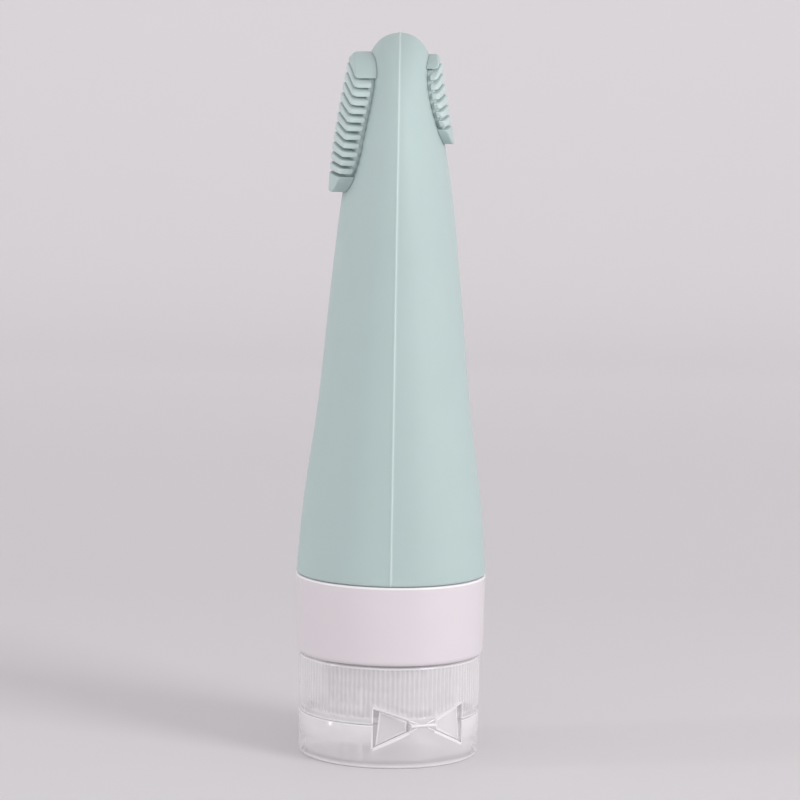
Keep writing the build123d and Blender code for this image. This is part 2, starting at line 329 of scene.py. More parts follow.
def grain_bump(tree, place, shader, size_mm, depth_mm, strength):
    """Fine grain of a real size and depth in the surface's normal."""
    grain = noise(tree, place, size_mm, 2.0)
    bump = add_node(
        tree, "ShaderNodeBump", {"Distance": depth_mm * MM, "Strength": strength}, [(grain, "Fac", "Height")]
    )
    tree.links.new(bump.outputs["Normal"], shader.inputs["Normal"])


def roughness_range(tree, place, shader, size_mm, low, high):
    """Handling marks: roughness that drifts between two values in patches of a real size."""
    marks = noise(tree, place, size_mm, 4.0)
    spread = add_node(
        tree, "ShaderNodeMapRange", {"From Min": 0.15, "From Max": 0.85, "To Min": low, "To Max": high},
        [(marks, "Fac", "Value")],
    )
    tree.links.new(spread.outputs["Result"], shader.inputs["Roughness"])


def moulded_silicone():
    """Silicone rubber, compression moulded in a spark-eroded mould."""
    # It looks satin and soft: light goes a little way in, and the pigment is faintly mottled
    material, tree, place, shader = start_material("moulded_silicone", {
        "IOR": 1.41, "Roughness": 0.5, "Specular IOR Level": 0.42,
        "Subsurface Weight": 0.22, "Subsurface Radius": (1.0, 1.25, 1.15), "Subsurface Scale": 1.6 * MM,
        "Sheen Weight": 0.06, "Sheen Roughness": 0.4,
    })
    ramp = mottle(tree, place, shader, bpy.context.scene.bottle_finish.silicone, 0.965, 14.0)
    # Painted highlight: along the parting line, the tip, the thin ribs and the pads' gaps the colour goes paler
    paint_edge_highlights(tree, shader, ramp, linear("#DCE9E7"), 0.42)
    roughness_range(tree, place, shader, 6.0, 0.44, 0.56)
    # The mould's spark texture is about 0.1 mm and is drawn at 0.45 mm, the finest that shows
    grain_bump(tree, place, shader, 0.45, 0.03, 0.25)
    return material


def white_polypropylene(name, colour):
    """Polypropylene with white pigment, injection moulded."""
    # It looks semi-gloss and a little waxy, with a painted highlight, a pale line, along its edges
    material, tree, place, shader = start_material(name, {
        "IOR": 1.49, "Roughness": 0.3, "Specular IOR Level": 0.5,
        "Subsurface Weight": 0.15, "Subsurface Radius": (1.0, 0.9, 0.9), "Subsurface Scale": 1.0 * MM,
    })
    ramp = mottle(tree, place, shader, colour, 0.985, 9.0)
    paint_edge_highlights(tree, shader, ramp, linear("#F4F0F3"), 0.8)
    roughness_range(tree, place, shader, 12.0, 0.27, 0.33)
    # The mould's polish leaves marks of about 0.2 mm, which are drawn at 0.8 mm
    grain_bump(tree, place, shader, 0.8, 0.01, 0.1)
    return material


def moulded_white_polypropylene():
    """The collar's white, a little greyed by its pigment."""
    return white_polypropylene("moulded_white_polypropylene", bpy.context.scene.bottle_finish.collar)


def moulded_neck_polypropylene_painted_light():
    """The neck insert's paler white: partly its own pigment, partly painted light, whiter than the collar so that it
    glows through the clear cap.
    """
    return white_polypropylene("moulded_neck_polypropylene_painted_light", bpy.context.scene.bottle_finish.neck)


def moulded_clear_polypropylene():
    """Clear-grade polypropylene, injection moulded and polished."""
    # It looks see-through with a milky haze, and every edge and rib carries a painted highlight, a pale line
    material, tree, place, shader = start_material("moulded_clear_polypropylene", {
        "IOR": 1.49, "Roughness": 0.16, "Specular IOR Level": 0.5, "Transmission Weight": 0.12,
    })
    ramp = mottle(tree, place, shader, bpy.context.scene.bottle_finish.clear, 0.985, 5.0)
    share = paint_edge_highlights(tree, shader, ramp, linear("#FBFAFC"), 0.8)
    # A wall lets two thirds of the light straight through; along the painted edge highlight it lets less, down to none,
    # so the pale line shows
    cover = add_node(tree, "ShaderNodeMapRange", {"To Min": 0.34, "To Max": 1.0}, [(share, "Value", "Value")])
    tree.links.new(cover.outputs["Result"], shader.inputs["Alpha"])
    roughness_range(tree, place, shader, 8.0, 0.08, 0.13)
    # The flow marks of the moulding are about 1.2 mm apart
    grain_bump(tree, place, shader, 1.2, 0.01, 0.08)
    return material


def moulded_seal_silicone():
    """Natural silicone, moulded as a washer."""
    # It looks milky and matt, and lets a little light through
    material, tree, place, shader = start_material("moulded_seal_silicone", {
        "IOR": 1.41, "Roughness": 0.45, "Transmission Weight": 0.25,
        "Subsurface Weight": 0.3, "Subsurface Radius": (1.0, 1.0, 1.0), "Subsurface Scale": 1.2 * MM,
    })
    mottle(tree, place, shader, linear("#DCDFDE"), 0.96, 4.0)
    # The mould's texture is about 0.1 mm and is drawn at 0.5 mm
    grain_bump(tree, place, shader, 0.5, 0.02, 0.2)
    return material


def painted_board(colour):
    """Board with a matt paint, bent up behind the object as a backdrop."""
    # It looks flat and pale. Painted light and shade: the colour is a little darker just behind the object and paler
    # farther back up the sweep, as on a lit backdrop
    material, tree, place, shader = start_material("painted_board_floor", {
        "Roughness": 0.65, "Specular IOR Level": 0.25,
    })
    axes = add_node(tree, "ShaderNodeSeparateXYZ", {}, [(place, "Object", "Vector")])
    depth = add_node(tree, "ShaderNodeMapRange", {"From Min": -0.4, "From Max": 1.6}, [(axes, "Y", "Value")])
    painted_light = add_node(tree, "ShaderNodeValToRGB", {}, [(depth, "Result", "Fac")])
    for k, (position, factor) in enumerate(BOARD_PAINTED_LIGHT):
        stop = painted_light.color_ramp.elements[k] if k < 2 else painted_light.color_ramp.elements.new(position)
        stop.position = position
        stop.color = toned(colour, factor)
    tree.links.new(painted_light.outputs["Color"], shader.inputs["Base Color"])
    # The roller's texture is about 0.6 mm
    grain_bump(tree, place, shader, 0.6, 0.01, 0.1)
    return material


MAKERS = {
    "silicone": moulded_silicone,
    "white": moulded_white_polypropylene,
    "neck_lit": moulded_neck_polypropylene_painted_light,
    "clear": moulded_clear_polypropylene,
    "seal": moulded_seal_silicone,
}
MADE = {}


def finish_of(kind):
    """The one material of each kind, made when it is first asked for."""
    if kind not in MADE:
        MADE[kind] = MAKERS[kind]()
    return MADE[kind]


# ---- sizes and colours that a user would change -------------------------------------------------

class BottleSizes(bpy.types.PropertyGroup):
    """Sizes of the silicone bottle."""
    wall: bpy.props.FloatProperty(
        name="Wall", description="Thickness of the silicone wall",
        default=2.0 * MM, min=1.0 * MM, max=4.0 * MM, subtype="DISTANCE",
    )
    tip_wall: bpy.props.FloatProperty(
        name="Tip wall", description="Thickness of the silicone at the tip",
        default=3.2 * MM, min=1.0 * MM, max=6.0 * MM, subtype="DISTANCE",
    )
    line_height: bpy.props.FloatProperty(
        name="Parting line height", description="How far the mould's parting line stands out",
        default=0.2 * MM, min=0.0, max=0.5 * MM, subtype="DISTANCE",
    )
    line_width: bpy.props.FloatProperty(
        name="Parting line width", description="Half width of the parting line",
        default=0.24 * MM, min=0.05 * MM, max=1.0 * MM, subtype="DISTANCE",
    )
    edge_slope: bpy.props.FloatProperty(
        name="Edge slope", description="How sharply the two mould halves meet",
        default=0.09, min=0.0, max=0.3, subtype="FACTOR",
    )
    base_round: bpy.props.FloatProperty(
        name="Base round", description="Round of the bottle's lower edge",
        default=0.7 * MM, min=0.1 * MM, max=2.0 * MM, subtype="DISTANCE",
    )


class BottlePads(bpy.types.PropertyGroup):
    """Sizes of the rubbing pads."""
    groove: bpy.props.FloatProperty(
        name="Gap", description="Gap between two ribs",
        default=0.7 * MM, min=0.3 * MM, max=1.5 * MM, subtype="DISTANCE",
    )
    backing: bpy.props.FloatProperty(
        name="Backing", description="Thickness of the pads' backing",
        default=1.1 * MM, min=0.3 * MM, max=2.0 * MM, subtype="DISTANCE",
    )
    rib_round: bpy.props.FloatProperty(
        name="Rib round", description="Round of the ribs' outer edges",
        default=0.34 * MM, min=0.05 * MM, max=0.6 * MM, subtype="DISTANCE",
    )


class BottleCap(bpy.types.PropertyGroup):
    """Sizes of the collar, the neck and the cap."""
    collar_top: bpy.props.FloatProperty(
        name="Collar top radius", description="Radius of the collar's upper edge",
        default=21.5 * MM, min=10 * MM, max=40 * MM, subtype="DISTANCE",
    )
    collar_bottom: bpy.props.FloatProperty(
        name="Collar bottom radius", description="Radius of the collar's lower edge",
        default=21.2 * MM, min=10 * MM, max=40 * MM, subtype="DISTANCE",
    )
    rib_depth: bpy.props.FloatProperty(
        name="Rib depth", description="Depth of the grip ribs on the cap",
        default=0.17 * MM, min=0.05 * MM, max=0.6 * MM, subtype="DISTANCE",
    )
    foot_round: bpy.props.FloatProperty(
        name="Foot round", description="Round of the lid's foot",
        default=1.2 * MM, min=0.3 * MM, max=2.0 * MM, subtype="DISTANCE",
    )
    thread_pitch: bpy.props.FloatProperty(
        name="Thread pitch", description="Rise of the screw thread in one turn",
        default=3.0 * MM, min=1.0 * MM, max=6.0 * MM, subtype="DISTANCE",
    )


class BottleFinish(bpy.types.PropertyGroup):
    """Colours of the bottle's materials and of the floor."""
    silicone: bpy.props.FloatVectorProperty(
        name="Silicone", description="Colour of the silicone",
        default=linear("#B3C5C3")[:3], min=0, max=1, subtype="COLOR",
    )
    collar: bpy.props.FloatVectorProperty(
        name="Collar", description="Colour of the collar",
        default=linear("#D9D3D7")[:3], min=0, max=1, subtype="COLOR",
    )
    # Partly painted light: the neck is whiter than the collar so that it glows through the clear cap
    neck: bpy.props.FloatVectorProperty(
        name="Neck", description="Colour of the neck insert",
        default=linear("#FAF4F7")[:3], min=0, max=1, subtype="COLOR",
    )
    clear: bpy.props.FloatVectorProperty(
        name="Clear cap", description="Tint of the clear cap",
        default=linear("#FDFBFD")[:3], min=0, max=1, subtype="COLOR",
    )
    floor: bpy.props.FloatVectorProperty(
        name="Floor", description="Colour of the floor",
        default=linear("#E0DDDF")[:3], min=0, max=1, subtype="COLOR",
    )


# ---- the silicone bottle ------------------------------------------------------------------------

# Steps away from the parting line in mm, close together where its bead is; even steps follow them
LINE_STEPS = [0.0, 0.06, 0.12, 0.18, 0.26, 0.38, 0.6, 1.0, 1.7, 2.7]
FLANK_STEPS = 22


def ring_angles(a):
    """Angles round a level ring of half thickness a, from the parting line at -Y."""
    near = [math.asin(min(step / (1 + step / (0.8 * a)) / a, 0.95)) for step in LINE_STEPS]
    last = near[-1]
    quarter = near + [last + (math.pi / 2 - last) * k / FLANK_STEPS for k in range(1, FLANK_STEPS + 1)]
    half = quarter[:-1] + [math.pi - angle for angle in quarter[:0:-1]]
    return half + [math.pi + angle for angle in half]


def oval_ring(a, b, height, line=0.0, width=1.0, slope=0.0):
    """One level ring of the bottle, starting at -Y, with the parting line's bead and edge slope, and a painted
    highlight along the bead.
    """
    slope_end, slope_fade = 4.0, 3.5
    ring = []
    for angle in ring_angles(max(a, 0.05)):
        x, y = a * math.sin(angle), -b * math.cos(angle)
        ridge = math.exp(-((x / width) ** 2))
        bead = line * ridge - slope * min(abs(x), slope_end) * math.exp(-((x / slope_fade) ** 2))
        reach = math.hypot(x, y) or 1.0
        # Each point's fourth value is the painted highlight along the bead, fading away from the parting line
        ring.append((x, y + bead * (y / reach), height, ridge if line > 0.01 else 0.0))
    return ring


class BOTTLE_OT_silicone_body(bpy.types.Operator):
    """Builds the hollow silicone bottle with its parting line and the sleeve inside the collar."""
    bl_idname = "bottle.silicone_body"
    bl_label = "Silicone bottle"

    def execute(self, context):
        sizes = context.scene.bottle_sizes
        wall, base_round = sizes.wall / MM, sizes.base_round / MM
        line_height, line_width = sizes.line_height / MM, sizes.line_width / MM
        seat = COLLAR_TOP + 0.1
        shelf = seat + 2.0
        length = BODY_TIP - COLLAR_TOP
        levels, tip_round = 96, 0.6

        # Down the outside: the rings stand close together at the tip
        # The tip's pole carries the full painted highlight of the parting line
        rings = [[(0, 0, BODY_TIP + line_height, 1.0)]]
        for k in range(1, levels + 1):
            height = max(BODY_TIP - length * (k / levels) ** 2, seat + base_round)
            a, b = body_half_axes(height)
            ring = oval_ring(a, b, height, line_height, line_width, sizes.edge_slope * min(1, a / 8))
            lift = line_height * max(0.0, 1 - (BODY_TIP - height) / tip_round)
            if lift:
                ring = [(x, y, z + lift * math.exp(-((x / line_width) ** 2)), light) for x, y, z, light in ring]
            rings.append(ring)
        a, b = body_half_axes(seat)
        for k, turn in enumerate(QUARTER_TURN, 1):
            inset = base_round * (1 - math.cos(turn))
            height = seat + base_round * (1 - math.sin(turn))
            rings.append(oval_ring(a - inset, b - inset, height, line_height * (1 - k / 6), line_width))

        # Down the sleeve's outside and up its inside to the cavity's shelf
        outer, inner, foot, chamfer = SLEEVE_RADIUS, SLEEVE_RADIUS - wall, COLLAR_BOTTOM + 3.6, 0.4
        for radius, height in (
            (outer + 0.3, seat), (outer, seat - 0.3), (outer, foot + chamfer), (outer - chamfer, foot),
            (inner + chamfer, foot), (inner, foot + chamfer), (inner, shelf - chamfer), (inner + 0.3, shelf),
        ):
            rings.append(oval_ring(radius, radius, height))

        # Up the cavity's wall, which narrows to a point over its last 3 mm
        cavity_tip, steps = BODY_TIP - sizes.tip_wall / MM, levels // 2
        for k in range(steps, 0, -1):
            height = max(cavity_tip - (cavity_tip - shelf) * (k / steps) ** 2, shelf)
            a, b = body_half_axes(height, -wall)
            taper = min(1.0, math.sqrt((cavity_tip - height + 1e-6) / 3.0))
            rings.append(oval_ring(max(a * taper, 0.2), max(b * taper, 0.2), height))
        rings.append([(0, 0, cavity_tip)])

        points, faces = loft_faces(rings)
        body = make_object("silicone_shell", points, faces, finish_of("silicone"), crease=50)
        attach(body, "bottle")
        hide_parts("silicone_body")
        return {"FINISHED"}


# ---- the rubbing pads ---------------------------------------------------------------------------

# Sizes of both pads in mm. "drop", "first" and "first_end" are measured down from the bottle's tip: to the
# pad's top, to the first gap's crest and to where that gap meets the outline
LARGE_PAD = {
    "name": "scrub_pad_large", "node": "brush_pad_large", "side": -1, "drop": 4.3, "arch": 16.7, "foot": 14.4,
    "half": 16.3, "corner": 9.0, "top_rib": 4.6, "foot_rib": 3.2, "grooves": 12, "first": 6.4, "pitch": 2.22,
    "first_end": 10.8, "end_pitch": 1.887, "shoulder": 2.6,
}
SMALL_PAD = {
    "name": "scrub_pad_small", "node": "brush_pad_small", "side": 1, "drop": 4.6, "arch": 10.6, "foot": 9.3,
    "half": 13.3, "corner": 9.4, "top_rib": 2.5, "foot_rib": 2.2, "grooves": 7, "first": 6.3, "pitch": 2.31,
    "first_end": 8.8, "end_pitch": 2.03, "shoulder": 2.0,
}
PAD_SEAT = 0.1
RIB_END_ROUND = 0.9


def pad_span(pad, y, inset=0.0):
    """Lowest and highest point of a pad's outline at y."""
    half, arch, foot, corner = pad["half"] - inset, pad["arch"] - inset, pad["foot"] - inset, pad["corner"]
    middle = BODY_TIP - pad["drop"] - pad["arch"]
    power = pad["shoulder"]
    top = middle + arch * (1 - (abs(y) / half) ** power) ** (1 / power)
    past = abs(y) - (half - corner)
    rise = corner - math.sqrt(max(corner**2 - past**2, 0)) if past > 0 else 0.0
    return middle - foot + rise, top


def rib_skin(pad, height):
    """How far the ribs stand out of the bottle at a height: less at the foot, and sloped off at the top."""
    slope_length, slope_share = 2.4, 0.24
    depth = BODY_TIP - height
    start, end = pad["drop"], pad["drop"] + pad["arch"] + pad["foot"]
    share = min(max((depth - start) / (end - start), 0), 1)
    slope = max(0.0, 1 - max(depth - start, 0) / slope_length)
    return pad["top_rib"] * (1 - slope_share * slope**2) + (pad["foot_rib"] - pad["top_rib"]) * share**3


def groove_line(pad, index, y):
    """Height of the middle of one gap at y: crowned in the middle, lowest where it meets the outline."""
    crest = pad["first"] + pad["pitch"] * index
    end = pad["first_end"] + pad["end_pitch"] * index
    above = pad["drop"] + pad["arch"] - end
    power = pad["shoulder"]
    reach = pad["half"] * (1 - (max(above, 0) / pad["arch"]) ** power) ** (1 / power)
    return BODY_TIP - crest - (end - crest) * (y / reach) ** 2


def rib_span(pad, index, gap, y):
    """Lowest and highest point of one rib at y, between its gaps and inside the pad's outline."""
    low, high = pad_span(pad, y)
    if index < pad["grooves"]:
        low = max(low, groove_line(pad, index, y) + gap / 2)
    if index > 0:
        high = min(high, groove_line(pad, index - 1, y) - gap / 2)
    return low, high


def rib_block(pad, index, gap, root, edge, light):
    """One rib as a closed block from root outward, its outer edges and both ends rounded."""
    fine = [pad["half"] * k / 400 for k in range(400)]
    spans = [(y, rib_span(pad, index, gap, y)) for y in fine]
    last = max(y for y, (low, high) in spans if high - low > 0.25)
    straight = last - RIB_END_ROUND
    right = [(straight * k / 22, 0.0) for k in range(1, 23)]
    right += [(straight + RIB_END_ROUND * math.sin(t), RIB_END_ROUND * (1 - math.cos(t))) for t in QUARTER_TURN]
    row = [(-y, inset) for y, inset in reversed(right)] + [(0.0, 0.0)] + right
    arc = [math.pi / 2 * k / 4 for k in range(5)]
    rings = []
    for y, inset in row:
        low, high = rib_span(pad, index, gap, y)
        squeeze = min(inset * 0.25, (high - low) * 0.2)
        low, high = low + squeeze, high - squeeze
        soft = min(edge, (high - low) * 0.4)
        outer = [(low + soft * (1 - math.cos(t)), soft * (math.sin(t) - 1) - inset) for t in arc]
        outer += [(high - soft * (1 - math.sin(t)), soft * (math.cos(t) - 1) - inset) for t in arc]
        low_wall, high_wall = (root + (rib_skin(pad, height) - edge - root) * 0.55 for height in (low, high))
        section = [(low, root), (low, low_wall)]
        section += [(height, rib_skin(pad, height) + out) for height, out in outer]
        section += [(high, high_wall), (high, root)]
        # Every point of the rib carries the rib's painted highlight
        rings.append([(*body_surface(pad["side"], y, height, skin), light) for height, skin in section])
    return closed_rod(rings)


def pad_backing(pad, thickness):
    """The slice that carries the ribs, set back from the pad's outline. It is thin, and its outer face carries painted
    light, so the gaps read pale instead of shaded.
    """
    tuck, across, down = 0.8, 40, 48
    rings = []
    for k in range(across + 1):
        y = (pad["half"] - tuck - 0.02) * math.sin(math.pi / 2 * (2 * k / across - 1))
        low, high = pad_span(pad, y, tuck)
        heights = [low + (high - low) * n / down for n in range(down + 1)]
        ring = [body_surface(pad["side"], y, height, PAD_SEAT / 2) for height in heights]
        # The outer face carries the full painted light
        ring += [(*body_surface(pad["side"], y, height, thickness), 1.0) for height in reversed(heights)]
        rings.append(ring)
    return closed_rod(rings)


class BOTTLE_OT_rubbing_pads(bpy.types.Operator):
    """Builds the two rubbing pads with their arched ribs."""
    bl_idname = "bottle.rubbing_pads"
    bl_label = "Rubbing pads"

    def execute(self, context):
        sizes = context.scene.bottle_pads
        gap, edge = sizes.groove / MM, sizes.rib_round / MM
        thickness = PAD_SEAT + sizes.backing / MM
        for pad in (LARGE_PAD, SMALL_PAD):
            parts = []
            for index in range(pad["grooves"] + 1):
                # Painted highlight: the thin ribs are paler than the solid blocks at the pad's top and foot
                solid = index in (0, pad["grooves"])
                root, light = (PAD_SEAT, 0.0) if solid else (thickness - 0.2, 0.7)
                parts.append(rib_block(pad, index, gap, root, edge, light))
            points, faces = merge(parts + [pad_backing(pad, thickness)])
            item = make_object(pad["name"], points, faces, finish_of("silicone"), crease=40)
            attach(item, "bottle")
            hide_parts(pad["node"])
        return {"FINISHED"}


# ---- collar, neck and washer --------------------------------------------------------------------

class BOTTLE_OT_collar(bpy.types.Operator):
    """Builds the white collar that grips the bottle's sleeve."""
    bl_idname = "bottle.collar"
    bl_label = "Collar"

    def execute(self, context):
        cap = context.scene.bottle_cap
        bottom, top, lip_top = COLLAR_BOTTOM, COLLAR_TOP, COLLAR_BOTTOM + 1.7
        bore, lip_bore = 19.5, 14.1
        outline = rounded([
            (lip_bore, bottom, 0.25), (cap.collar_bottom / MM, bottom, 1.1), (cap.collar_top / MM, top, 0.4),
            (bore, top, 0.3), (bore, lip_top, 0.3), (lip_bore, lip_top, 0.25),
        ], 7)
        # Painted highlight: the round of the upper outer edge is a pale line
        lit = [(r, z, 1.0 if r > 20 and z > top - 0.42 else 0.0) for r, z in outline]
        points, faces = revolve(lit, 256)
        item = make_object("collar_shell", points, faces, finish_of("white"), crease=50)
        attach(item, "bottle")
        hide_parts("collar_ring")
        return {"FINISHED"}


class BOTTLE_OT_neck(bpy.types.Operator):
    """Builds the neck insert with its barbs, flange and threaded spigot, and the sealing washer."""
    bl_idname = "bottle.neck"
    bl_label = "Neck and washer"

    def execute(self, context):
        pitch = context.scene.bottle_cap.thread_pitch / MM
        flange_low, flange_high = COLLAR_BOTTOM + 1.75, COLLAR_BOTTOM + 3.55
        mouth, bore, spigot = INSERT_BOTTOM, 11.5, 13.2
        barrel_bore, barrel, barb, barb_length = 15.45, 17.05, 17.4, 1.5
        corners = [
            (bore, mouth, 0.2), (spigot - 0.1, mouth, 0.4), (spigot, flange_low, 0.5),
            (SLEEVE_RADIUS, flange_low, 0.2), (SLEEVE_RADIUS, flange_high, 0.2), (barrel, flange_high, 0.2),
        ]
        for index in (1, 2, 3):
            height = flange_high + (INSERT_TOP - flange_high) / 4 * index
            corners += [(barrel, height, 0.1), (barb, height, 0.08), (barrel, height + barb_length, 0.1)]
        corners += [
            (barrel, INSERT_TOP, 0.2), (barrel_bore, INSERT_TOP, 0.2), (barrel_bore, flange_high, 0.6),
            (bore, flange_high - 1.0, 0.5),
        ]
        thread = helix_ridge(
            spigot, reach=0.72, base_width=1.5, crest_width=0.9, pitch=pitch, start_z=mouth + 1.9,
            start_angle=0.6, turns=1.6,
        )
        points, faces = merge([revolve(rounded(corners, 4), 192), thread])
        item = make_object("neck_spigot", points, faces, finish_of("neck_lit"), crease=45)
        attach(item, "bottle")
        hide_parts("neck_insert")

        outer, hole = 14.05, 11.1
        outline = rounded([
            (outer, GASKET_BOTTOM, 0.2), (outer, GASKET_TOP, 0.2), (hole, GASKET_TOP, 0.2), (hole, GASKET_BOTTOM, 0.2),
        ], 4)
        points, faces = revolve(outline, 128)
        item = make_object("seal_washer", points, faces, finish_of("seal"), crease=50)
        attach(item, "cap_carrier")
        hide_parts("neck_gasket")
        return {"FINISHED"}


# ---- the clear cap ------------------------------------------------------------------------------

# The skirt's radii, its grip ribs, and where these stop above the seam between base and lid
CAP_RADIUS = 20.5
CAP_INNER = 19.2
RIBS = 118
SEAM = LID_TOP + LID_RIM_GAP / 2
LEDGE = 0.9
SKIRT_STEP = 18.0

# The butterfly hinge: where it stands, half its bead, the wings' triangles and the pockets behind them
HINGE_TURN = math.radians(22.0)
HINGE_REACH = 20.9
HINGE_MIDDLE = 3.0
WING_SPAN = 11.3
WING_DEPTH = 3.796
WING_RISE = 4.0
WING_FALL = 5.6
WING_CHORD = math.hypot(WING_SPAN, WING_DEPTH)
POCKET_END = 10.7
POCKET_DEPTH = 1.25
POCKET_BACK = 2.25

# The thumb notch at the back: half its width, its flat's distance from the axis, and its top
NOTCH_HALF, NOTCH_FLAT, NOTCH_TOP = 6.2, 19.6, 13.4

# Inside the base: the deck, the upstand that the lid closes round, the spout and the socket for the neck
DECK_LOW, DECK_HIGH = 11.2, 12.7
UPSTAND_RADIUS, UPSTAND_BORE, UPSTAND_FOOT = 19.1, 17.9, 8.3
SPOUT_RADIUS, SPOUT_BORE, SPOUT_FOOT = 3.7, 2.4, 7.4
SOCKET_RADIUS, SOCKET_BORE, SOCKET_TOP = 15.4, 14.1, 22.3

# Inside the lid: its floor, the plug for the spout and the ring round the spout
LID_FLOOR = 1.4
PLUG_RADIUS, PLUG_TOP = 2.35, 9.2
RING_RADIUS, RING_BORE, RING_TOP = 5.8, 4.8, 5.6


def turned(point):
    """A point of the cap's own frame, hinge at -Y, turned to where the hinge stands."""
    x, y = point[0], point[1]
    c, s = math.cos(HINGE_TURN), math.sin(HINGE_TURN)
    return (x * c - y * s, x * s + y * c) + tuple(point[2:])


def behind_chord(x, depth):
    """Y of the upright plane at a depth behind a wing's chord."""
    return -HINGE_REACH + (depth * WING_CHORD + WING_DEPTH * abs(x)) / WING_SPAN


class CapColumn:
    """One upright slice of the cap: an angle from the hinge, and whether it cuts a hinge pocket."""

    def __init__(self, angle, pocket):
        self.angle = angle
        self.pocket = pocket
        self.x = CAP_RADIUS * math.sin(angle)
        self.front = math.cos(angle) > 0
        # Painted highlight: a pale rim stands just outside each pocket's end
        past = abs(angle) - math.asin(POCKET_END / CAP_RADIUS)
        self.rim = 0.8 if self.front and not pocket and 0 < past < 0.012 else 0.0

    def at(self, radius, height, light=0.0):
        """A point at a radius, with its painted edge highlight."""
        return (radius * math.sin(self.angle), -radius * math.cos(self.angle), height, light)

    def behind(self, depth, height, light=0.0):
        """A point on the plane at a depth behind the chord, with its painted edge highlight."""
        return (self.x, behind_chord(self.x, depth), height, light)

    def inner(self, height):
        """The inside of the skirt, thickened behind the hinge pockets."""
        if self.front and math.hypot(self.x, behind_chord(self.x, POCKET_BACK)) < CAP_INNER:
            return self.behind(POCKET_BACK, height)
        return self.at(CAP_INNER, height)

    def ring_wall(self, bore, radius, foot, top, light):
        """A ring that stands on a floor: up its inside, over its top and down its outside, with a painted highlight on
        its top.
        """
        at, soft = self.at, 0.2
        return [
            at(bore - soft, foot), at(bore, foot + soft), at(bore, top - soft), at(bore + soft, top, light),
            at(radius - soft, top, light), at(radius, top - soft), at(radius, foot + soft), at(radius + soft, foot),
        ]

    def film(self, rise):
        """Height of the film line on this slice; beyond the pockets it stays level."""
        span = min(abs(self.x), POCKET_END) if self.front else POCKET_END
        return SEAM + rise * span / WING_SPAN


def cap_columns(samples):
    """Slices round the cap: evenly spread, and doubled at both ends of each hinge pocket."""
    columns = []
    start, end = (math.asin(x / CAP_RADIUS) for x in (HINGE_MIDDLE, POCKET_END))
    for k in range(samples):
        angle = 2 * math.pi * k / samples - math.pi
        if min(abs(abs(angle) - start), abs(abs(angle) - end)) > 0.003:
            columns.append(CapColumn(angle, start < abs(angle) < end))
    for side in (-1, 1):
        for angle, pocket in (
            (start - 1e-4, False), (start + 1e-4, True), (end - 1e-4, True), (end + 1e-4, False),
        ):
            columns.append(CapColumn(side * angle, pocket))
    return sorted(columns, key=lambda column: column.angle)


